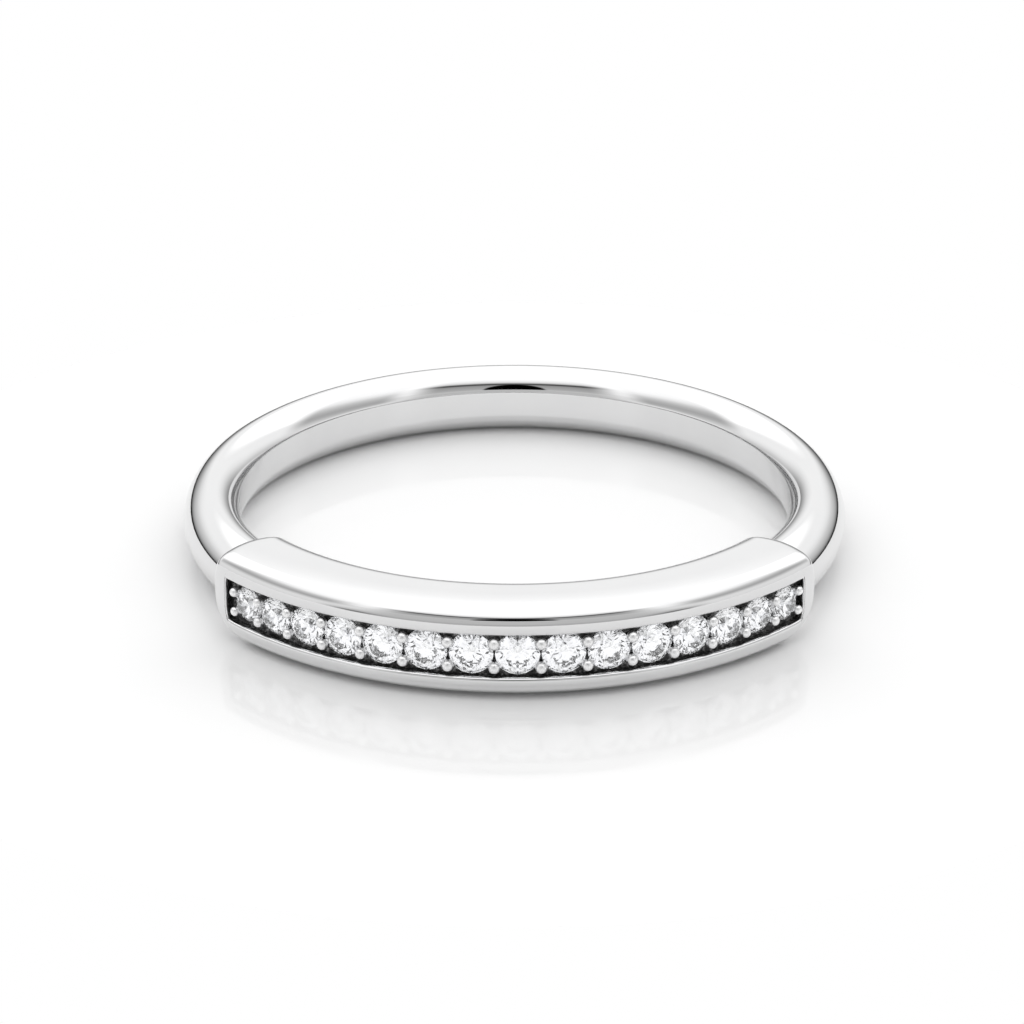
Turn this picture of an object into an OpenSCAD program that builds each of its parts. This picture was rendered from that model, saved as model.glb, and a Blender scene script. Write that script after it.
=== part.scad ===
/* Band ring: a round-backed wire that runs into a thicker curved bar with a row of small
   brilliant-cut stones in a channel. It lies on its side: the finger hole's axis is Z, the
   middle of the wire is z = 0 and the bar faces -Y. */

/* [Finger hole and wire] */
// Diameter of the finger hole
bore_d = 17.2; // [16.8:0.1:18]
// Thickness of the wire, from the finger hole outward
wire_w = 1.72; // [1.5:0.02:1.9]
// Height of the wire, along the finger hole's axis
wire_h = 2.22; // [2.1:0.02:2.3]
// Height of the flat inner wall of the wire
wall_h = 0.9; // [0.7:0.05:1.1]

/* [Bar] */
// Thickness of the bar, from the finger hole outward
bar_w = 2.53; // [2.4:0.01:2.7]
// Height of the bar, along the finger hole's axis
bar_h = 2.52; // [2.5:0.02:2.6]
// Height of the bar's middle above the middle of the wire
bar_lift = 0.32; // [0.3:0.01:0.34]
// Angle from the middle of the bar to the front corner of its end
front_corner_a = 50.4; // [50.2:0.1:51]
// Angle from the middle of the bar to the start of its rounded inner corner
inner_corner_a = 46.5; // [46:0.1:47]
// Radius of the lower front edge of the bar
low_edge_r = 0.4; // [0.3:0.02:0.4]
// Radius of the upper front edge of the bar
top_edge_r = 0.42; // [0.3:0.02:0.44]
// Radius of the bar's upper edge along the finger hole
hole_top_r = 0.6; // [0.4:0.05:0.7]
// Radius of the bar's lower edge along the finger hole
hole_low_r = 0.4; // [0.3:0.05:0.4]

/* [Channel] */
// Height of the channel's middle line, and of the row of stones, above the middle of the wire
row_lift = 0.25; // [0.24:0.01:0.27]
// Height of the channel's mouth
channel_h = 1.32; // [1.32:0.02:1.4]
// Depth of the channel behind the front face
channel_depth = 0.26; // [0.24:0.01:0.3]
// Angle from the middle of the bar to either end of the channel
channel_a = 48.3; // [48.3:0.1:48.9]

/* [Stones] */
// Diameter of the middle stone
middle_stone_d = 1.25; // [1.2:0.01:1.25]
// Diameter of the two end stones
end_stone_d = 1.04; // [1:0.01:1.04]
// Gap between neighbouring stones
stone_gap = 0.035; // [0.03:0.005:0.04]
// Angle by which the row sits off the middle of the bar
row_turn = 0.4; // [0:0.1:0.5]
// Depth of the stones' widest line behind the front face
girdle_depth = 0.22; // [0.2:0.01:0.24]

/* [Beads] */
// Radius of a bead's round head
head_r = 0.17; // [0.15:0.01:0.17]
// Radius of the post that carries the head
post_r = 0.07; // [0.06:0.005:0.07]
// Distance of the beads from the middle line of the row
bead_z = 0.32; // [0.3:0.01:0.34]
// Depth of the head's centre behind the front face
head_depth = 0.09; // [0.08:0.01:0.14]
// Angle from an end stone to the pair of beads beyond it
end_bead_a = 2.85; // [2.8:0.05:2.9]

/* [Hidden] */
$fn = 48;

// Clearance between a stone and the metal round it
seat_gap = 0.03;
// Overlap that makes a cut run clean through a face
eps = 0.1;

bore_r = bore_d / 2;
face_r = bore_r + bar_w;
floor_r = face_r - channel_depth;
girdle_r = face_r - girdle_depth;
head_mid_r = face_r - head_depth;
wire_low = -wire_h / 2;
bar_low = bar_lift - bar_h / 2;
bar_top = bar_lift + bar_h / 2;
// Place of the end stones, counted from the middle one
last_k = 7;

function polar(r, a) = [r * cos(a), r * sin(a)];
function arc(c, r, a0, a1, n) = [for (i = [0 : n]) c + polar(r, a0 + (a1 - a0) * i / n)];

// Turns what lies along +X to a place on the bar, a the angle from its middle
module turned(a) {
    rotate([0, 0, a - 90]) children();
}

// Oval of the wire, whose inmost part the finger hole cuts to a flat wall
wall_t = asin(wall_h / wire_h);
oval_w = wire_w / (1 + cos(wall_t));
oval_mid_r = bore_r + wire_w - oval_w;
oval_steps = 36;
// Angle from the middle of the bar to the wire's ends, which are sunk in the bar
wire_end_a = 44;
// Slope that takes the underside of the wire up to the bar, and where it starts
run_out_a = 32;
run_out_from_a = 52.5;
run_out_size = 4;

module wire_section() {
    turn = 360 / oval_steps;
    polygon([for (i = [1 : oval_steps]) [oval_mid_r + oval_w * cos(i * turn), wire_h / 2 * sin(i * turn)]]);
}

module run_out_cut() {
    turned(run_out_from_a) translate([bore_r - 1, 0, wire_low]) rotate([-run_out_a, 0, 0])
        translate([0, -run_out_size, -run_out_size]) cube([run_out_size, run_out_size, run_out_size]);
}

module wire() {
    difference() {
        rotate([0, 0, wire_end_a - 90]) rotate_extrude(angle = 360 - 2 * wire_end_a, $fn = 96) wire_section();
        run_out_cut();
        mirror([1, 0, 0]) run_out_cut();
    }
}

// Section of the bar: upright front face, rounded edges, flat top and underside
edge_steps = 5;
// The section reaches this far into the finger hole, which is cut afterwards
hole_reach = 0.02;

module bar_section() {
    back = bore_r - hole_reach;
    polygon(concat(
        arc([back + hole_low_r, bar_low + hole_low_r], hole_low_r, 180, 270, edge_steps),
        arc([face_r - low_edge_r, bar_low + low_edge_r], low_edge_r, 270, 360, edge_steps),
        arc([face_r - top_edge_r, bar_top - top_edge_r], top_edge_r, 0, 90, edge_steps),
        arc([back + hole_top_r, bar_top - hole_top_r], hole_top_r, 90, 180, edge_steps)));
}

// Plan of the bar's ends: a curve from the front corner round to the finger hole
end_steps = 10;
end_lean = 26;
front_pull = 1.3;
inner_pull = 1.1;
corner_p = polar(face_r, front_corner_a - 90);
hole_p = polar(bore_r, inner_corner_a - 90);
front_handle = corner_p + front_pull * polar(1, 90 + end_lean);
inner_handle = hole_p + inner_pull * polar(1, inner_corner_a);
function end_point(t) =
    pow(1 - t, 3) * corner_p + 3 * t * pow(1 - t, 2) * front_handle
    + 3 * t * t * (1 - t) * inner_handle + pow(t, 3) * hole_p;

module bar_plan() {
    front = -2 * face_r;
    curve = [for (i = [0 : end_steps]) end_point(i / end_steps)];
    edge = concat([[2 * face_r, front], corner_p - polar(1, 90 + end_lean)], curve, [0.9 * hole_p]);
    polygon(concat(edge, [for (i = [len(edge) - 1 : -1 : 0]) [-edge[i][0], edge[i][1]]]));
}

module bar() {
    // Angle of the rough bar, before its ends are cut to their plan
    rough_a = 60;
    intersection() {
        turned(-rough_a) rotate_extrude(angle = 2 * rough_a, $fn = 96) bar_section();
        translate([0, 0, bar_low - 1]) linear_extrude(height = bar_h + 2) bar_plan();
    }
}

module channel_cut() {
    turned(-channel_a) rotate_extrude(angle = 2 * channel_a, $fn = 96)
        translate([floor_r, row_lift - channel_h / 2]) square([1, channel_h]);
}

// Proportions of a round brilliant, as parts of its radius
table_part = 0.56;
crown_part = 0.32;
girdle_part = 0.05;
pavilion_part = 0.86;
// How far down the crown the star facets reach, and down the pavilion the lower halves
star_part = 0.5;
lower_part = 0.77;
facets = 8;
facet_a = 360 / facets;
half_a = facet_a / 2;

function star_r(r) = r * (table_part + star_part * (1 - table_part)) / cos(half_a);
function star_z(r) = r * (girdle_part / 2 + crown_part * (1 - star_part));
function table_z(r) = r * (girdle_part / 2 + crown_part);
function lower_r(r) = r * (1 - lower_part) / cos(half_a);
function lower_z(r) = -r * (girdle_part / 2 + pavilion_part * lower_part);
function culet_z(r) = -r * (girdle_part / 2 + pavilion_part);
function circle_points(r, z, n, a0) = [for (i = [0 : n - 1]) [r * cos(a0 + 360 * i / n), r * sin(a0 + 360 * i / n), z]];

// Diameters fall off with the square of the place in the row, counted from its middle
function stone_d(k) = middle_stone_d - (middle_stone_d - end_stone_d) * pow(k / last_k, 2);
function step_a(k) = 2 * asin(((stone_d(k) + stone_d(k + 1)) / 2 + stone_gap) / 2 / girdle_r);
function side_a(k) = k < 1 ? 0 : side_a(k - 1) + step_a(k - 1);
function stone_a(k) = row_turn + sign(k) * side_a(abs(k));

module on_row(k) {
    turned(stone_a(k)) translate([girdle_r, 0, row_lift]) rotate([0, 90, 0]) children();
}

// A round brilliant: its table, stars, kites, halves and girdle, and a pointed pavilion
module brilliant(r) {
    n = facets;
    points = concat(
        circle_points(r * table_part, table_z(r), n, 0),
        circle_points(star_r(r), star_z(r), n, half_a),
        circle_points(r, r * girdle_part / 2, 2 * n, 0),
        circle_points(r, -r * girdle_part / 2, 2 * n, 0),
        circle_points(lower_r(r), lower_z(r), n, half_a),
        [[0, 0, culet_z(r)]]);
    star = n;
    upper = 2 * n;
    under = 4 * n;
    lower = 6 * n;
    tip = 7 * n;
    polyhedron(points = points, faces = concat(
        [[for (i = [n - 1 : -1 : 0]) i]],
        [for (i = [0 : n - 1]) [i, (i + 1) % n, star + i]],
        [for (i = [0 : n - 1]) [i, star + i, upper + 2 * i, star + (i + n - 1) % n]],
        [for (i = [0 : n - 1]) [star + i, upper + 2 * i + 1, upper + 2 * i]],
        [for (i = [0 : n - 1]) [star + i, upper + (2 * i + 2) % (2 * n), upper + 2 * i + 1]],
        [for (i = [0 : 2 * n - 1])
            [upper + i, upper + (i + 1) % (2 * n), under + (i + 1) % (2 * n), under + i]],
        [for (i = [0 : n - 1]) [lower + i, under + 2 * i, under + 2 * i + 1]],
        [for (i = [0 : n - 1]) [lower + i, under + 2 * i + 1, under + (2 * i + 2) % (2 * n)]],
        [for (i = [0 : n - 1]) [under + 2 * i, lower + i, tip, lower + (i + n - 1) % n]]));
}

module stone(k) {
    color([0.86, 0.93, 0.97]) on_row(k) brilliant(stone_d(k) / 2);
}

// Room for one stone: its own outline with the clearance all round, open at the front
module seat_cut(k) {
    r = stone_d(k) / 2;
    g = seat_gap;
    on_row(k) rotate_extrude() polygon([
        [0, culet_z(r) - 1.4 * g],
        [r + g, -r * girdle_part / 2 - g / 2],
        [r + g, r * girdle_part / 2 + g / 2],
        [star_r(r) + g, star_z(r) + g],
        [r * table_part + g, table_z(r) + g],
        [0, table_z(r) + g]
    ]);
}

// Profile of a bead prong, upward from the channel's floor: post, cone and round head
head_steps = 4;
cone_l = head_r - post_r;

module bead_profile() {
    foot_z = -(head_mid_r - floor_r + eps);
    polygon(concat([[0, foot_z], [post_r, foot_z], [post_r, -cone_l]], arc([0, 0], head_r, 0, 90, head_steps)));
}

// A pair of bead prongs, above and below the middle line of the row
module bead_pair(a) {
    turned(a) for (side = [-1, 1])
        translate([head_mid_r, 0, row_lift + side * bead_z]) rotate([0, 90, 0]) rotate_extrude($fn = 32)
            bead_profile();
}

module beads() {
    for (k = [-last_k : last_k - 1]) bead_pair((stone_a(k) + stone_a(k + 1)) / 2);
    bead_pair(stone_a(-last_k) - end_bead_a);
    bead_pair(stone_a(last_k) + end_bead_a);
}

module band() {
    color([0.8, 0.8, 0.8]) difference() {
        union() {
            wire();
            difference() {
                bar();
                channel_cut();
            }
            beads();
        }
        for (k = [-last_k : last_k]) seat_cut(k);
        // Finger hole
        translate([0, 0, wire_low - 1]) cylinder(r = bore_r, h = bar_top - wire_low + 2, $fn = 96);
    }
}

band();
stone(-7);  // stone_01
stone(-6);  // stone_02
stone(-5);  // stone_03
stone(-4);  // stone_04
stone(-3);  // stone_05
stone(-2);  // stone_06
stone(-1);  // stone_07
stone(0);  // stone_08
stone(1);  // stone_09
stone(2);  // stone_10
stone(3);  // stone_11
stone(4);  // stone_12
stone(5);  // stone_13
stone(6);  // stone_14
stone(7);  // stone_15
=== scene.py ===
"""Band ring lying on its side: a polished round-backed shank, a thicker curved bar and a row of
brilliants between bead prongs, on a pale lacquered table in a white tent.

Sizes are in millimetres until mm() or finish_piece() turns them into metres, and angles are in
degrees. Names end in _R for a radius from the ring's axis or of a rounding, in _A for an angle,
in _Z for a height over the shank's middle plane, and in _W, _H and _D for widths, heights and
diameters."""

from math import asin, atan2, cos, degrees, hypot, pi, radians, sin, sqrt, tan

import bmesh
import bpy
import numpy as np
from mathutils import Matrix, Vector


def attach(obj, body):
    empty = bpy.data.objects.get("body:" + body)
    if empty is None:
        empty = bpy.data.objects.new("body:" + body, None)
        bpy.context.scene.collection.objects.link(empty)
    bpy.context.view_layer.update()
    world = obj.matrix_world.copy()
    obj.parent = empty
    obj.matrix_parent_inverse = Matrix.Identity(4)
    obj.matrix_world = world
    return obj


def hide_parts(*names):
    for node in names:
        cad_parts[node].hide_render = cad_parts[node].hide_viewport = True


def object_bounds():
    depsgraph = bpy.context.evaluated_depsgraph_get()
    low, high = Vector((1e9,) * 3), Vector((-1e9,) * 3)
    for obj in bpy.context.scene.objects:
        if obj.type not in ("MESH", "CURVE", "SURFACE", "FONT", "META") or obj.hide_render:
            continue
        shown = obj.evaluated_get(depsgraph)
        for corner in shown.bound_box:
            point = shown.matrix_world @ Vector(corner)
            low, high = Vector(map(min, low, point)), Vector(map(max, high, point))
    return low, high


bpy.ops.wm.read_factory_settings(use_empty=True)
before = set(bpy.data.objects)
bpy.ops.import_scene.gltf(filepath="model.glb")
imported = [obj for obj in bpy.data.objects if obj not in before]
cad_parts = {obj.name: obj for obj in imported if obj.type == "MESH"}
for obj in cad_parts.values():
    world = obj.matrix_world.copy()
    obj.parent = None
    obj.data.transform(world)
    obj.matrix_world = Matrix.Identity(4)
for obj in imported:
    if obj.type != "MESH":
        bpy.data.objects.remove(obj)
cad_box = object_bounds()

# Shank: a D-section wire round the finger hole, part of an oval cut flat on the inside
BORE_R = 8.6
WIRE_W = 1.72
WIRE_H = 2.22
WALL_H = 0.9
OVAL_W = WIRE_W / (1 + cos(asin(WALL_H / WIRE_H)))
OVAL_R = BORE_R + WIRE_W - OVAL_W
OUTER_FULLNESS = 1.8
CREASE_W = 0.02
SHANK_END_A = 45.8

# Bar: its section
FACE_R = 11.13
BAR_LOW = -1.0
BAR_TOP = 1.6
LOW_EDGE_R = 0.4
TOP_EDGE_R = 0.42
HOLE_LOW_R = 0.4
HOLE_TOP_R = 0.7

# Bar: the slight crown of its top, on either side of a ridge
CROWN_FROM_R = 9.85
CROWN_HALF_W = 0.85
FRONT_CROWN = 0.02
HOLE_CROWN = 0.04

# Bar: the plan of its ends, a curve from the front corner to the finger hole
FRONT_CORNER_A = 51.4
INNER_CORNER_A = 46.5
END_LEAN = 23.0
FRONT_PULL = 1.3
INNER_PULL = 1.1
PLAN_FROM_A = 15.0
END_X = radians(FRONT_CORNER_A) * FACE_R

# Bar: the roundings of its end faces, straight only between the two belly heights
END_EDGE_R = 0.13
LOW_CORNER_R = 0.9
END_BELLY_A = 3.2
BELLY_ABOVE_Z = 0.45
BELLY_BELOW_Z = 0.1

# Where the shank runs into the bar: its underside slopes up and its inner wall sinks in
RUN_OUT_FROM_A = 52.5
RUN_OUT_SLOPE = tan(radians(32))
SINK_FROM_A = INNER_CORNER_A + 0.6
SINK_OVER_A = 0.8
SINK_DEPTH = 0.02

# Channel in the bar's face
ROW_Z = 0.25
CHANNEL_H = 1.32
CHANNEL_A = 48.3
CHANNEL_X = radians(CHANNEL_A) * FACE_R
CHANNEL_DEPTH = 0.26
RIM_R = 0.1

# Row of stones, counted from the middle one to LAST_K at either end
LAST_K = 7
MIDDLE_STONE_D = 1.25
END_STONE_D = 1.04
STONE_GAP = 0.035
ROW_TURN_A = 0.4
GIRDLE_DEPTH = 0.22
GIRDLE_R = FACE_R - GIRDLE_DEPTH
PAVILION_PART = 0.86
SEAT_ROOM = 0.05
SEAT_PROUD = 0.015

# Bead prongs: radius of a head, and how far it is from the row's line, as parts of a stone's diameter
HEAD_PART = 0.14
BESIDE_PART = 0.29
HEAD_DEPTH = 0.09
HEAD_R = FACE_R - HEAD_DEPTH
POST_R = 0.07
POST_ROOT = 0.1
END_BEAD_A = 2.35

# How finely the pieces are cut
SHANK_POINTS = 128
SHANK_STEPS = 320
CREASE_SEGMENTS = 4
EDGE_SEGMENTS = 14
RIM_SEGMENTS = 5
END_STEPS = 8
PLAN_POINTS = 80
BAR_COLUMNS = 110
END_COLUMNS = 8
BESIDE_EDGE = 0.02
TOP_CUTS_R = (9.4, 9.7, 10.0, 10.3, 10.5)
LOW_CUTS_Z = (-0.25, 0.0)
HIGH_CUTS_Z = (0.5, 0.75)
HEAD_SEGMENTS = 28
HEAD_RINGS = 18
POST_SEGMENTS = 20
SEAT_SEGMENTS = 48
CUT_CLOSE = 1e-6
MERGE_CLOSE = 1e-5
CLOSE = 1e-4

# Edges with a wider turn than this stay sharp
SHANK_SHARP_A = 50
BAR_SHARP_A = 40
PRONG_SHARP_A = 60
SEAT_SHARP_A = 60
TABLE_SHARP_A = 30

# Table
TABLE_R = 22.5
TABLE_SEGMENTS = 256
TABLE_GLOSS = 0.08

# White tent: brightness by height above the horizon, as pairs of height and brightness
TENT = [
    (-12, 0.0), (-5, 0.0), (-4, 0.02), (-3, 0.2), (-1, 0.43), (1, 0.545), (3, 0.657), (5, 0.727),
    (7, 0.81), (9, 0.91), (11, 0.99), (13, 1.05), (15, 1.1), (18, 1.13), (25.5, 1.13), (27.5, 1.2),
    (31, 1.45), (90, 1.52),
]
CAMERA_SIDE = [
    (-12, 0.5), (0, 0.56), (5, 0.62), (21, 0.62), (26, 0.7), (28, 0.55), (41, 0.38), (43.5, 0.1), (47, 0.1),
    (49, 0.6), (51, 0.85), (56, 1.15), (66, 1.4), (90, 1.52),
]
SIDES = [
    (-12, 0.9), (8, 0.95), (15, 0.75), (20, 0.55), (25, 0.5), (31, 0.6), (37, 0.8), (43, 1.1), (50, 1.3),
    (90, 1.52),
]
BACK_FOOT = [
    (-12, 0.0), (-3, 0.1), (0, 0.22), (4, 0.4), (8, 0.62), (12, 0.85), (16, 1.02), (20, 1.13), (25.5, 1.13),
    (27.5, 1.2), (31, 1.45), (90, 1.52),
]
# Over which angles from the bar's side one stretch of the tent turns into the next
CAMERA_SIDE_FADES_A = (34.0, 58.0)
SIDES_BEGIN_A = (46.0, 62.0)
SIDES_FADE_A = (98.0, 116.0)
BACK_BEGINS_A = (140.0, 165.0)
# What the stones let through is brighter than what they mirror, and a little bluer
THROUGH_STONE = 1.14
THROUGH_STONE_BLUE = 1.02

# Lens and hood in the tent: half an oval with soft edges
LENS_LOW = 26.5
LENS_H = 17.5
LENS_HALF_A = 14.0
LENS_FADES = (0.85, 1.1)
LENS_LOW_EDGE = (LENS_LOW - 0.5, LENS_LOW + 1)

# Camera
CAMERA_X = -0.078
CAMERA_Y = -74.86
CAMERA_Z = 32.34 + ROW_Z
CAMERA_DOWN_A = 23.70
FOCAL_LENGTH = 91.41
SENSOR_W = 36.0

# Light turns many times inside a cut stone
LIGHT_TURNS = 24
MIRROR_TURNS = 16
STONE_TURNS = 16


def mm(value):
    """Metres from millimetres."""
    return value * 0.001


def on_ring(r, azimuth, z):
    """The place at radius r and height z, at an angle from the middle of the bar."""
    a = radians(azimuth)
    return Vector((r * sin(a), -r * cos(a), z))


def ring_place(co):
    """Radius of a place, and its angle from the middle of the bar."""
    return hypot(co.x, co.y), degrees(atan2(co.x, -co.y))


def round_off(bm, geom, radius, segments, affect="EDGES", clamp=False):
    """Rounds edges or corners."""
    bmesh.ops.bevel(
        bm, geom=geom, offset=radius, offset_type="OFFSET", segments=segments, profile=0.5,
        affect=affect, material=-1, clamp_overlap=clamp,
    )


def new_verts(made):
    """The vertices among what an operator made."""
    return [item for item in made["geom"] if isinstance(item, bmesh.types.BMVert)]


def finish_piece(name, bm, materials, sharp_angle):
    """Turns a bmesh in millimetres into an object in metres with its place in its mesh."""
    bmesh.ops.remove_doubles(bm, verts=bm.verts[:], dist=MERGE_CLOSE)
    bmesh.ops.recalc_face_normals(bm, faces=bm.faces[:])
    bmesh.ops.scale(bm, vec=(mm(1), mm(1), mm(1)), verts=bm.verts[:])
    mesh = bpy.data.meshes.new(name)
    bm.to_mesh(mesh)
    bm.free()
    for material in materials:
        mesh.materials.append(material)
    mesh.shade_smooth()
    mesh.set_sharp_from_angle(angle=radians(sharp_angle))
    piece = bpy.data.objects.new(name, mesh)
    bpy.context.scene.collection.objects.link(piece)
    return piece


# Shader nodes
def node(tree, kind, **sockets):
    """A new node with values set on its sockets."""
    made = tree.nodes.new(kind)
    for name, value in sockets.items():
        made.inputs[name].default_value = value
    return made


def math_node(tree, operation, a, b=None):
    """The result of a sum on sockets or plain numbers."""
    made = tree.nodes.new("ShaderNodeMath")
    made.operation = operation
    for socket, value in zip(made.inputs, (a, b)):
        if value is None:
            continue
        if isinstance(value, (int, float)):
            socket.default_value = value
        else:
            tree.links.new(value, socket)
    return made.outputs[0]


def smooth_range(tree, value, low, high, to_low=0.0, to_high=1.0):
    """A soft step from to_low to to_high, as the value goes from low to high."""
    made = tree.nodes.new("ShaderNodeMapRange")
    made.interpolation_type = "SMOOTHSTEP"
    tree.links.new(value, made.inputs["Value"])
    made.inputs["From Min"].default_value = low
    made.inputs["From Max"].default_value = high
    made.inputs["To Min"].default_value = to_low
    made.inputs["To Max"].default_value = to_high
    return made.outputs["Result"]


def ramp(tree, value, stops):
    """Greys between pairs of place and grey."""
    made = tree.nodes.new("ShaderNodeValToRGB")
    elements = made.color_ramp.elements
    while len(elements) > 1:
        elements.remove(elements[-1])
    for i, (place, grey) in enumerate(stops):
        element = elements[0] if i == 0 else elements.new(place)
        element.position = place
        element.color = (grey, grey, grey, 1)
    tree.links.new(value, made.inputs["Fac"])
    return made.outputs["Color"]


def mix_colour(tree, share, a, b):
    """Colour a where the share is 0 and b where it is 1."""
    made = tree.nodes.new("ShaderNodeMix")
    made.data_type = "RGBA"
    tree.links.new(share, made.inputs["Factor"])
    for value, socket in ((a, made.inputs["A"]), (b, made.inputs["B"])):
        if isinstance(value, tuple):
            socket.default_value = value
        else:
            tree.links.new(value, socket)
    return made.outputs["Result"]


def noise(tree, scale, detail, roughness=0.5):
    """Fine noise that is fixed to the piece; scale is in grains per metre."""
    place = tree.nodes.new("ShaderNodeTexCoord")
    made = node(tree, "ShaderNodeTexNoise", Scale=scale, Detail=detail, Roughness=roughness)
    tree.links.new(place.outputs["Object"], made.inputs["Vector"])
    return made.outputs["Fac"]


def bump(tree, shader, height, strength, distance):
    """Small bumps on a shader's surface."""
    made = node(tree, "ShaderNodeBump", Strength=strength, Distance=distance)
    tree.links.new(height, made.inputs["Height"])
    tree.links.new(made.outputs["Normal"], shader.inputs["Normal"])


def new_material(name):
    """A material, its node tree and its main shader."""
    material = bpy.data.materials.new(name)
    material.use_nodes = True
    tree = material.node_tree
    return material, tree, tree.nodes["Principled BSDF"]


# Materials
def polished_metal():
    """White metal with a high polish, faint handling haze and hairline waviness."""
    material, tree, shader = new_material("polished white metal")
    shader.inputs["Metallic"].default_value = 1.0
    haze = noise(tree, scale=900.0, detail=4.0)
    tint = mix_colour(tree, haze, (0.735, 0.735, 0.74, 1), (0.76, 0.76, 0.76, 1))
    tree.links.new(tint, shader.inputs["Base Color"])
    gloss = smooth_range(tree, haze, 0.3, 0.75, to_low=0.035, to_high=0.075)
    tree.links.new(gloss, shader.inputs["Roughness"])
    bump(tree, shader, noise(tree, scale=350.0, detail=2.0), strength=0.02, distance=mm(0.02))
    return material


def bead_metal():
    """White metal of the prongs' heads, burnished but not polished."""
    material, tree, shader = new_material("burnished bead metal")
    shader.inputs["Metallic"].default_value = 1.0
    shader.inputs["Base Color"].default_value = (0.94, 0.94, 0.945, 1)
    grain = noise(tree, scale=2500.0, detail=2.0)
    gloss = smooth_range(tree, grain, 0.3, 0.7, to_low=0.28, to_high=0.42)
    tree.links.new(gloss, shader.inputs["Roughness"])
    bump(tree, shader, grain, strength=0.06, distance=mm(0.02))
    return material


def channel_shade_metal():
    """The grainy inside of the channel, its metal painted dark for the shade in the recess."""
    material, tree, shader = new_material("grainy metal painted with channel shade")
    grain = noise(tree, scale=9000.0, detail=4.0, roughness=0.65)
    shader.inputs["Metallic"].default_value = 0.85
    # The dark greys are painted shade of the recess; the grain that spreads them is the metal's own.
    greys = ramp(tree, grain, [(0.3, 0.025), (0.52, 0.09), (0.66, 0.38)])
    tree.links.new(greys, shader.inputs["Base Color"])
    gloss = smooth_range(tree, grain, 0.35, 0.65, to_low=0.65, to_high=0.4)
    tree.links.new(gloss, shader.inputs["Roughness"])
    bump(tree, shader, grain, strength=0.8, distance=mm(0.05))
    return material


def clear_stone():
    """Clear, strongly refracting stone with a trace of cloud."""
    material, tree, shader = new_material("clear cut stone")
    shader.inputs["Transmission Weight"].default_value = 1.0
    shader.inputs["IOR"].default_value = 2.3
    cloud = noise(tree, scale=1500.0, detail=2.0)
    tint = mix_colour(tree, cloud, (0.97, 0.985, 1.0, 1), (1.0, 1.0, 1.0, 1))
    tree.links.new(tint, shader.inputs["Base Color"])
    gloss = smooth_range(tree, cloud, 0.3, 0.7, to_low=0.0, to_high=0.01)
    tree.links.new(gloss, shader.inputs["Roughness"])
    return material


def table_top():
    """Pale lacquered table: matt white with a thin even gloss."""
    material, tree, _ = new_material("pale lacquered table")
    tree.nodes.clear()
    out = tree.nodes.new("ShaderNodeOutputMaterial")
    matt = node(tree, "ShaderNodeBsdfDiffuse", Color=(0.9, 0.9, 0.9, 1))
    gloss = node(tree, "ShaderNodeBsdfGlossy", Color=(1, 1, 1, 1))
    grain = noise(tree, scale=40.0, detail=2.0)
    lacquer = smooth_range(tree, grain, 0.3, 0.7, to_low=0.05, to_high=0.07)
    tree.links.new(lacquer, gloss.inputs["Roughness"])
    both = tree.nodes.new("ShaderNodeMixShader")
    both.inputs[0].default_value = TABLE_GLOSS
    tree.links.new(matt.outputs[0], both.inputs[1])
    tree.links.new(gloss.outputs[0], both.inputs[2])
    tree.links.new(both.outputs[0], out.inputs[0])
    return material


# Shank
def shank_section(bm):
    """The wire's oval, a little leaner outside than inside, cut flat where it meets the finger."""
    made = bmesh.ops.create_circle(bm, segments=SHANK_POINTS, radius=1)
    power = 2 / OUTER_FULLNESS
    for vert in made["verts"]:
        across, up = vert.co.x, vert.co.y
        if across > 0:
            across, up = across**power, (1 if up > 0 else -1) * abs(up) ** power
        r = max(OVAL_R + OVAL_W * across, BORE_R)
        vert.co = (0, -r, WIRE_H / 2 * up)


def spin_round_finger(bm):
    """Spins the section round the back of the finger and closes both ends."""
    start = Matrix.Rotation(radians(SHANK_END_A), 3, "Z")
    bmesh.ops.rotate(bm, verts=bm.verts[:], cent=(0, 0, 0), matrix=start)
    bmesh.ops.spin(
        bm, geom=bm.verts[:] + bm.edges[:], cent=(0, 0, 0), axis=(0, 0, 1), dvec=(0, 0, 0),
        angle=radians(360 - 2 * SHANK_END_A), steps=SHANK_STEPS,
        use_merge=False, use_normal_flip=False, use_duplicate=False,
    )
    bmesh.ops.holes_fill(bm, edges=[edge for edge in bm.edges if edge.is_boundary], sides=0)


def wall_creases(bm):
    """The edges between the flat inner wall and the round of the wire."""
    wall = {face for face in bm.faces if all(ring_place(v.co)[0] < BORE_R + CLOSE for v in face.verts)}
    return [
        edge for edge in bm.edges
        if sum(face in wall for face in edge.link_faces) == 1 and edge.verts[0].co.z * edge.verts[1].co.z > 0
    ]


def run_into_bar(vert):
    """Slopes the underside up towards the bar and sinks the inner wall behind the bar's own."""
    r, azimuth = ring_place(vert.co)
    from_middle = abs(azimuth)
    run = radians(RUN_OUT_FROM_A - from_middle) * r * RUN_OUT_SLOPE
    if run > 0:
        vert.co.z = max(vert.co.z, -WIRE_H / 2 + run)
    sunk = min(max((SINK_FROM_A - from_middle) / SINK_OVER_A, 0), 1)
    if sunk > 0 and r < OVAL_R:
        vert.co = on_ring(r + SINK_DEPTH * sunk, azimuth, vert.co.z)


def build_shank(metal):
    """The wire behind the finger, with fine creases along its inner wall and its ends in the bar."""
    bm = bmesh.new()
    shank_section(bm)
    spin_round_finger(bm)
    round_off(bm, wall_creases(bm), CREASE_W, CREASE_SEGMENTS, clamp=True)
    for vert in bm.verts:
        run_into_bar(vert)
    return finish_piece("shank", bm, [metal], SHANK_SHARP_A)


# Bar: made straight, with x along it and y = -radius, and bent last
def polar(r, angle):
    """A place in plan; the bar's middle is at -90 degrees."""
    return np.array([r * cos(radians(angle)), r * sin(radians(angle))])


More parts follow.
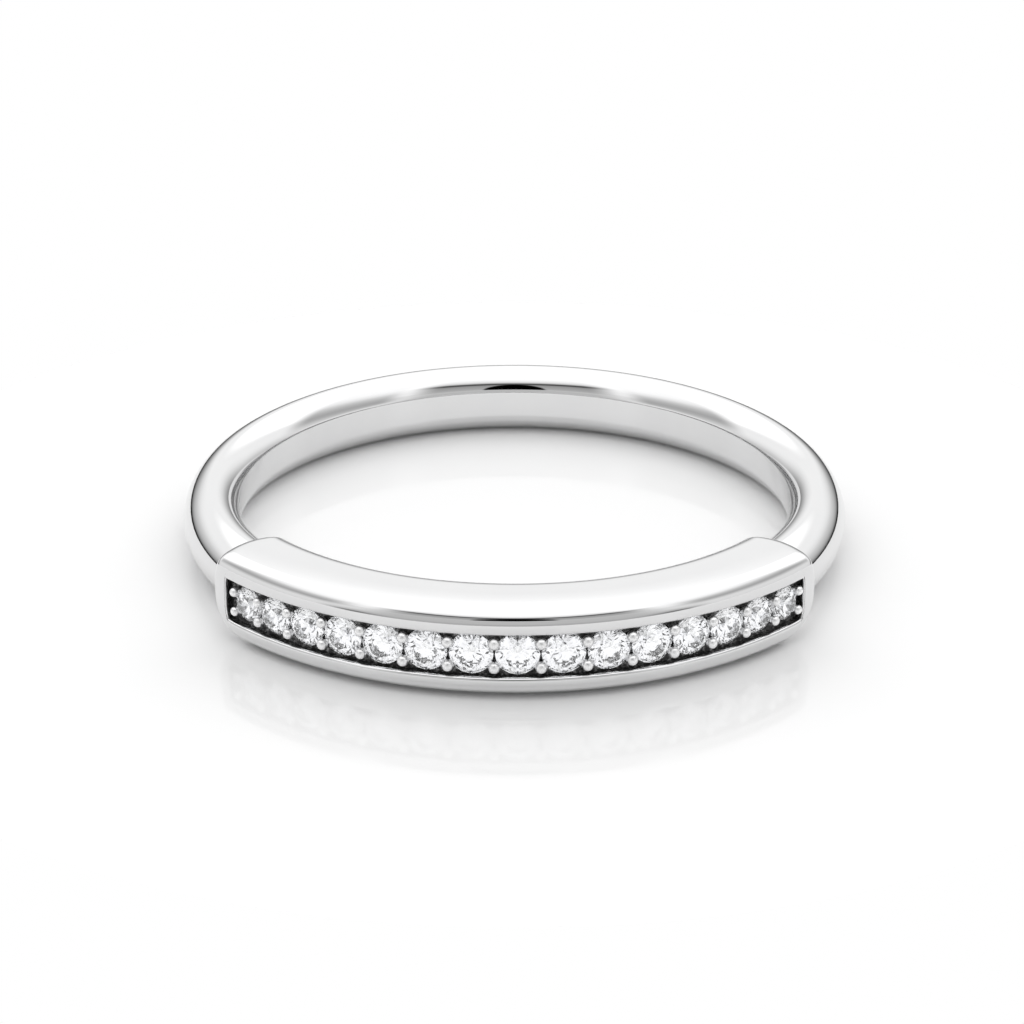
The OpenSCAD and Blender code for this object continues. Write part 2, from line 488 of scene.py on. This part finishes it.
def end_plan():
    """Radius and angle along the plan of the bar's end, from the hole to the front corner."""
    corner = polar(FACE_R, FRONT_CORNER_A - 90)
    hole = polar(BORE_R, INNER_CORNER_A - 90)
    front = corner + FRONT_PULL * polar(1, 90 + END_LEAN)
    inner = hole + INNER_PULL * polar(1, INNER_CORNER_A)
    t = np.linspace(1, 0, PLAN_POINTS)[:, None]
    near_corner = (1 - t) ** 3 * corner + 3 * t * (1 - t) ** 2 * front
    curve = near_corner + 3 * t * t * (1 - t) * inner + t**3 * hole
    radius = np.hypot(curve[:, 0], curve[:, 1])
    angle = np.degrees(np.arctan2(curve[:, 0], -curve[:, 1]))
    return radius, angle


def cut(bm, place, normal):
    """Cuts the mesh along a plane and keeps both sides."""
    bmesh.ops.bisect_plane(
        bm, geom=bm.verts[:] + bm.edges[:] + bm.faces[:], dist=CUT_CLOSE, plane_co=place, plane_no=normal,
        clear_inner=False, clear_outer=False,
    )


def bar_section(bm):
    """The bar's section at its middle, with round edges."""
    corners = {
        (FACE_R, BAR_TOP): TOP_EDGE_R,
        (FACE_R, BAR_LOW): LOW_EDGE_R,
        (BORE_R, BAR_LOW): HOLE_LOW_R,
        (BORE_R, BAR_TOP): HOLE_TOP_R,
    }
    section = [bm.verts.new((0, -r, z)) for r, z in corners]
    bm.faces.new(section)
    for vert, radius in zip(section, corners.values()):
        round_off(bm, [vert], radius, EDGE_SEGMENTS, affect="VERTICES")
    bmesh.ops.remove_doubles(bm, verts=bm.verts[:], dist=CUT_CLOSE)


def draw_out_section(bm):
    """Draws the section out to one end and rounds the edge of the end face."""
    edge_x = END_X - END_EDGE_R
    made = bmesh.ops.extrude_face_region(bm, geom=bm.faces[:])
    for vert in new_verts(made):
        vert.co.x = edge_x
    cap = [face for face in bm.faces if all(v.co.x > edge_x - MERGE_CLOSE for v in face.verts)]
    bmesh.ops.recalc_face_normals(bm, faces=bm.faces[:])
    for i in range(END_STEPS):
        a, b = radians(90 * i / END_STEPS), radians(90 * (i + 1) / END_STEPS)
        bmesh.ops.inset_region(
            bm, faces=cap, thickness=END_EDGE_R * (cos(a) - cos(b)), depth=END_EDGE_R * (sin(b) - sin(a)),
            use_even_offset=True, use_boundary=True,
        )


def cut_for_bending(bm):
    """Cuts the bar into columns and bands that can bend, and along the channel's outline."""
    for i in range(1, BAR_COLUMNS + 1):
        cut(bm, (CHANNEL_X * i / BAR_COLUMNS, 0, 0), (1, 0, 0))
    for i in range(1, END_COLUMNS):
        cut(bm, (CHANNEL_X + (END_X - END_EDGE_R - CHANNEL_X) * i / END_COLUMNS, 0, 0), (1, 0, 0))
    hole_edge, face_edge = BORE_R + HOLE_TOP_R + BESIDE_EDGE, FACE_R - TOP_EDGE_R - BESIDE_EDGE
    for r in (hole_edge, *TOP_CUTS_R, face_edge):
        cut(bm, (0, -r, 0), (0, 1, 0))
    low_edge, top_edge = BAR_LOW + LOW_EDGE_R + BESIDE_EDGE, BAR_TOP - TOP_EDGE_R - BESIDE_EDGE
    low_side, high_side = ROW_Z - CHANNEL_H / 2, ROW_Z + CHANNEL_H / 2
    for z in (low_edge, *LOW_CUTS_Z, low_side, ROW_Z, *HIGH_CUTS_Z, high_side, top_edge):
        cut(bm, (0, 0, z), (0, 0, 1))


def straight_bar():
    """Both halves of the bar, before the channel is sunk and the bar is bent."""
    bm = bmesh.new()
    bar_section(bm)
    draw_out_section(bm)
    cut_for_bending(bm)
    middle = [face for face in bm.faces if all(abs(v.co.x) < CUT_CLOSE for v in face.verts)]
    bmesh.ops.delete(bm, geom=middle, context="FACES")
    bmesh.ops.mirror(bm, geom=bm.verts[:] + bm.edges[:] + bm.faces[:], axis="X", merge_dist=MERGE_CLOSE)
    bmesh.ops.recalc_face_normals(bm, faces=bm.faces[:])
    return bm


def in_mouth(vert):
    """Whether a place on the face lies in the channel's outline."""
    return abs(vert.co.x) < CHANNEL_X + CLOSE and abs(vert.co.z - ROW_Z) < CHANNEL_H / 2 + CLOSE


def on_face(vert):
    """Whether a corner of the straight bar lies on its front face."""
    return abs(vert.co.y + FACE_R) < CLOSE


def sink_channel(bm):
    """Sinks the channel in the front face and rounds its rim; its inside takes the metal painted dark for
    the channel's shade.
    """
    floor_y = CHANNEL_DEPTH - FACE_R
    mouth = [face for face in bm.faces if all(on_face(v) and in_mouth(v) for v in face.verts)]
    sunk = bmesh.ops.extrude_face_region(bm, geom=mouth)
    bmesh.ops.delete(bm, geom=mouth, context="FACES")
    for vert in new_verts(sunk):
        vert.co.y = floor_y
    bm.normal_update()
    rim = [
        edge for edge in bm.edges
        if all(on_face(v) and in_mouth(v) for v in edge.verts)
        and any(max(v.co.y for v in face.verts) > floor_y - CLOSE for face in edge.link_faces)
    ]
    round_off(bm, rim, RIM_R, RIM_SEGMENTS)
    # The channel's walls and floor get the metal painted dark for the shade in the recess.
    for face in bm.faces:
        inside = all(v.co.y > RIM_R - FACE_R - CLOSE and in_mouth(v) for v in face.verts)
        if inside and face.calc_center_median().y < floor_y + CLOSE:
            face.material_index = 1


def end_falls_back(z):
    """By what angle the end face falls back at a height, above and below its straight stretch."""
    above = (z - BELLY_ABOVE_Z) / (BAR_TOP - BELLY_ABOVE_Z)
    below = (BELLY_BELOW_Z - z) / (BELLY_BELOW_Z - BAR_LOW)
    part = min(max(above, below, 0), 1)
    return END_BELLY_A * (1 - sqrt(1 - part * part))


def crown_drop(r, z):
    """How far the top lies under its ridge at a radius, less and less further down."""
    off_ridge = (r - CROWN_FROM_R) / CROWN_HALF_W
    drop = off_ridge * off_ridge if abs(off_ridge) < 1 else 2 * abs(off_ridge) - 1
    return (FRONT_CROWN if off_ridge > 0 else HOLE_CROWN) * drop * min(z / (BAR_TOP - TOP_EDGE_R), 1)


def bend(vert):
    """Bends the bar round the finger, with the plan and roundings of its ends and its crown."""
    side = 1 if vert.co.x >= 0 else -1
    azimuth = degrees(abs(vert.co.x) / FACE_R)
    r, z = -vert.co.y, vert.co.z
    if azimuth > PLAN_FROM_A:
        reach = float(np.interp(r, END_R, END_A)) - end_falls_back(z)
        past = azimuth - PLAN_FROM_A
        azimuth = PLAN_FROM_A + past * (reach - PLAN_FROM_A) / (FRONT_CORNER_A - PLAN_FROM_A)
    to_end = max(END_X - abs(vert.co.x), 0)
    if to_end < LOW_CORNER_R and z < ROW_Z:
        lift = LOW_CORNER_R - sqrt(LOW_CORNER_R**2 - (LOW_CORNER_R - to_end) ** 2)
        z += lift * (ROW_Z - z) / (ROW_Z - BAR_LOW)
    if z > 0:
        z -= crown_drop(r, z)
    vert.co = on_ring(r, side * azimuth, z)


def build_bar(metal, dark):
    """The curved bar with its channel, still without seats."""
    bm = straight_bar()
    sink_channel(bm)
    for vert in bm.verts:
        bend(vert)
    return finish_piece("bar", bm, [metal, dark], BAR_SHARP_A)


# Row of stones and prongs
def stone_d(k):
    """Diameter of a stone, k counted from the middle one."""
    return MIDDLE_STONE_D - (MIDDLE_STONE_D - END_STONE_D) * (k / LAST_K) ** 2


def stone_a(k):
    """Angle of a stone from the middle of the bar."""
    angle = 0.0
    for i in range(abs(k)):
        chord = (stone_d(i) + stone_d(i + 1)) / 2 + STONE_GAP
        angle += 2 * degrees(asin(chord / 2 / GIRDLE_R))
    return ROW_TURN_A + (angle if k >= 0 else -angle)


def outward(azimuth, r, z):
    """Stands what points along +Z on the bar's face, pointing away from the finger hole."""
    turn = Matrix.Rotation(radians(azimuth), 4, "Z")
    lay = Matrix.Rotation(radians(90), 4, "X")
    return Matrix.Translation(on_ring(r, azimuth, z)) @ turn @ lay


def prong_places():
    """Angle of each pair of prongs, and the diameter of the stones beside it."""
    pairs = [(k, k + 1) for k in range(-LAST_K, LAST_K)]
    between = [((stone_a(i) + stone_a(j)) / 2, (stone_d(i) + stone_d(j)) / 2) for i, j in pairs]
    low_end, high_end = stone_a(-LAST_K) - END_BEAD_A, stone_a(LAST_K) + END_BEAD_A
    return between + [(low_end, END_STONE_D), (high_end, END_STONE_D)]


def build_prongs(metal):
    """Round heads on posts that stand in the channel's floor, above and below the row."""
    bm = bmesh.new()
    post = CHANNEL_DEPTH - HEAD_DEPTH + POST_ROOT
    for azimuth, d in prong_places():
        for side in (-1, 1):
            z = ROW_Z + side * BESIDE_PART * d
            bmesh.ops.create_uvsphere(
                bm, u_segments=HEAD_SEGMENTS, v_segments=HEAD_RINGS, radius=HEAD_PART * d,
                matrix=outward(azimuth, HEAD_R, z),
            )
            bmesh.ops.create_cone(
                bm, cap_ends=True, cap_tris=False, segments=POST_SEGMENTS, radius1=POST_R, radius2=POST_R,
                depth=post, matrix=outward(azimuth, HEAD_R - post / 2, z),
            )
    return finish_piece("bead_prongs", bm, [metal], PRONG_SHARP_A)


def seat_cutters(first):
    """A cone for every second stone, a little below its pavilion, up to the channel's floor."""
    bm = bmesh.new()
    top_r = FACE_R - CHANNEL_DEPTH + SEAT_PROUD
    for k in range(first, LAST_K + 1, 2):
        apex_r = GIRDLE_R - stone_d(k) / 2 * PAVILION_PART - SEAT_ROOM
        height = top_r - apex_r
        bmesh.ops.create_cone(
            bm, cap_ends=True, cap_tris=False, segments=SEAT_SEGMENTS, radius1=0.0,
            radius2=height / PAVILION_PART, depth=height,
            matrix=outward(stone_a(k), (top_r + apex_r) / 2, ROW_Z),
        )
    return finish_piece("seat_cutters", bm, [], SEAT_SHARP_A)


def cut_seats(bar):
    """Hollows the channel's floor under each stone."""
    cutters = [seat_cutters(-LAST_K), seat_cutters(1 - LAST_K)]
    for cutter in cutters:
        made = bar.modifiers.new("seats", "BOOLEAN")
        made.operation = "DIFFERENCE"
        made.solver = "EXACT"
        made.object = cutter
    depsgraph = bpy.context.evaluated_depsgraph_get()
    mesh = bpy.data.meshes.new_from_object(bar.evaluated_get(depsgraph))
    bar.modifiers.clear()
    bar.data = mesh
    mesh.set_sharp_from_angle(angle=radians(BAR_SHARP_A))
    for cutter in cutters:
        bpy.data.objects.remove(cutter)


# Light, table and camera
def by_height(tree, rise, levels):
    """Brightness from the height above the horizon, between the given pairs."""
    low, high = levels[0][0], levels[-1][0]
    place = tree.nodes.new("ShaderNodeMapRange")
    tree.links.new(rise, place.inputs["Value"])
    place.inputs["From Min"].default_value = low
    place.inputs["From Max"].default_value = high
    stops = [((height - low) / (high - low), level) for height, level in levels]
    return ramp(tree, place.outputs["Result"], stops)


def sky_place(tree):
    """Height above the horizon, and angle from the bar's side, of a direction in the tent."""
    place = tree.nodes.new("ShaderNodeTexCoord")
    split = tree.nodes.new("ShaderNodeSeparateXYZ")
    tree.links.new(place.outputs["Generated"], split.inputs[0])
    x, y, z = split.outputs[0], split.outputs[1], split.outputs[2]
    rise = math_node(tree, "MULTIPLY", math_node(tree, "ARCSINE", z), 180 / pi)
    to_bar = math_node(tree, "MULTIPLY", y, -1.0)
    turn = math_node(tree, "MULTIPLY", math_node(tree, "ARCTAN2", x, to_bar), 180 / pi)
    return rise, math_node(tree, "ABSOLUTE", turn)


def tent_shade(tree, rise, turn):
    """The tent's brightness: greyer on the camera's side and at the sides, dark at its foot."""
    to_camera = smooth_range(tree, turn, *CAMERA_SIDE_FADES_A, to_low=1.0, to_high=0.0)
    shade = mix_colour(tree, to_camera, by_height(tree, rise, TENT), by_height(tree, rise, CAMERA_SIDE))
    beside = math_node(
        tree, "MULTIPLY", smooth_range(tree, turn, *SIDES_BEGIN_A),
        smooth_range(tree, turn, *SIDES_FADE_A, to_low=1.0, to_high=0.0),
    )
    shade = mix_colour(tree, beside, shade, by_height(tree, rise, SIDES))
    behind = smooth_range(tree, turn, *BACK_BEGINS_A)
    return mix_colour(tree, behind, shade, by_height(tree, rise, BACK_FOOT))


def lens_share(tree, rise, turn):
    """1 on the lens and the hood over it, 0 beside them."""
    across = math_node(tree, "POWER", math_node(tree, "DIVIDE", turn, LENS_HALF_A), 2.0)
    upward = math_node(tree, "DIVIDE", math_node(tree, "SUBTRACT", rise, LENS_LOW), LENS_H)
    oval = math_node(tree, "ADD", across, math_node(tree, "POWER", upward, 2.0))
    in_oval = smooth_range(tree, oval, *LENS_FADES, to_low=1.0, to_high=0.0)
    return math_node(tree, "MULTIPLY", in_oval, smooth_range(tree, rise, *LENS_LOW_EDGE))


def studio_light():
    """A white tent with a lens in it; past the table's edge the camera sees plain white."""
    world = bpy.data.worlds.new("white tent")
    bpy.context.scene.world = world
    world.use_nodes = True
    tree = world.node_tree
    tree.nodes.clear()
    out = tree.nodes.new("ShaderNodeOutputWorld")
    rise, turn = sky_place(tree)
    shade = tent_shade(tree, rise, turn)
    seen = tree.nodes.new("ShaderNodeLightPath")
    bright = (THROUGH_STONE, THROUGH_STONE, THROUGH_STONE * THROUGH_STONE_BLUE, 1)
    tent = mix_colour(tree, seen.outputs["Is Transmission Ray"], shade, bright)
    light = tree.nodes.new("ShaderNodeBackground")
    with_lens = mix_colour(tree, lens_share(tree, rise, turn), tent, (0.0, 0.0, 0.0, 1))
    tree.links.new(with_lens, light.inputs["Color"])
    plain = node(tree, "ShaderNodeBackground", Color=(1, 1, 1, 1))
    choose = tree.nodes.new("ShaderNodeMixShader")
    tree.links.new(seen.outputs["Is Camera Ray"], choose.inputs[0])
    tree.links.new(light.outputs[0], choose.inputs[1])
    tree.links.new(plain.outputs[0], choose.inputs[2])
    tree.links.new(choose.outputs[0], out.inputs[0])


def build_table(material, z):
    """A round table top; past its edge the ring mirrors the tent's dark foot."""
    bm = bmesh.new()
    bmesh.ops.create_circle(bm, cap_ends=True, segments=TABLE_SEGMENTS, radius=TABLE_R)
    bmesh.ops.translate(bm, vec=(0, 0, z), verts=bm.verts[:])
    return finish_piece("table", bm, [material], TABLE_SHARP_A)


def place_camera():
    """The camera stands in front of the bar and looks down on it, as for the photograph."""
    data = bpy.data.cameras.new("camera")
    data.sensor_fit = "HORIZONTAL"
    data.sensor_width = SENSOR_W
    data.lens = FOCAL_LENGTH
    data.clip_start = 0.002
    data.clip_end = 20.0
    camera = bpy.data.objects.new("camera", data)
    camera.location = (mm(CAMERA_X), mm(CAMERA_Y), mm(CAMERA_Z))
    camera.rotation_euler = (radians(90 - CAMERA_DOWN_A), 0, 0)
    bpy.context.scene.collection.objects.link(camera)
    bpy.context.scene.camera = camera


END_R, END_A = end_plan()
metal = polished_metal()
shank = build_shank(metal)
# The bar's channel takes metal painted dark for the shade in the recess.
bar = build_bar(metal, channel_shade_metal())
cut_seats(bar)
prongs = build_prongs(bead_metal())
for piece in (shank, bar, prongs):
    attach(piece, "root")
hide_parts("band")

stone = clear_stone()
for name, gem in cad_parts.items():
    if name.startswith("stone"):
        gem.data.materials.clear()
        gem.data.materials.append(stone)

table = build_table(table_top(), cad_box[0][2] * 1000)
studio_light()
place_camera()

cycles = bpy.context.scene.cycles
cycles.max_bounces = LIGHT_TURNS
cycles.glossy_bounces = MIRROR_TURNS
cycles.transmission_bounces = STONE_TURNS

settings = bpy.context.scene.view_settings
settings.view_transform = "Standard"
settings.look = "None"
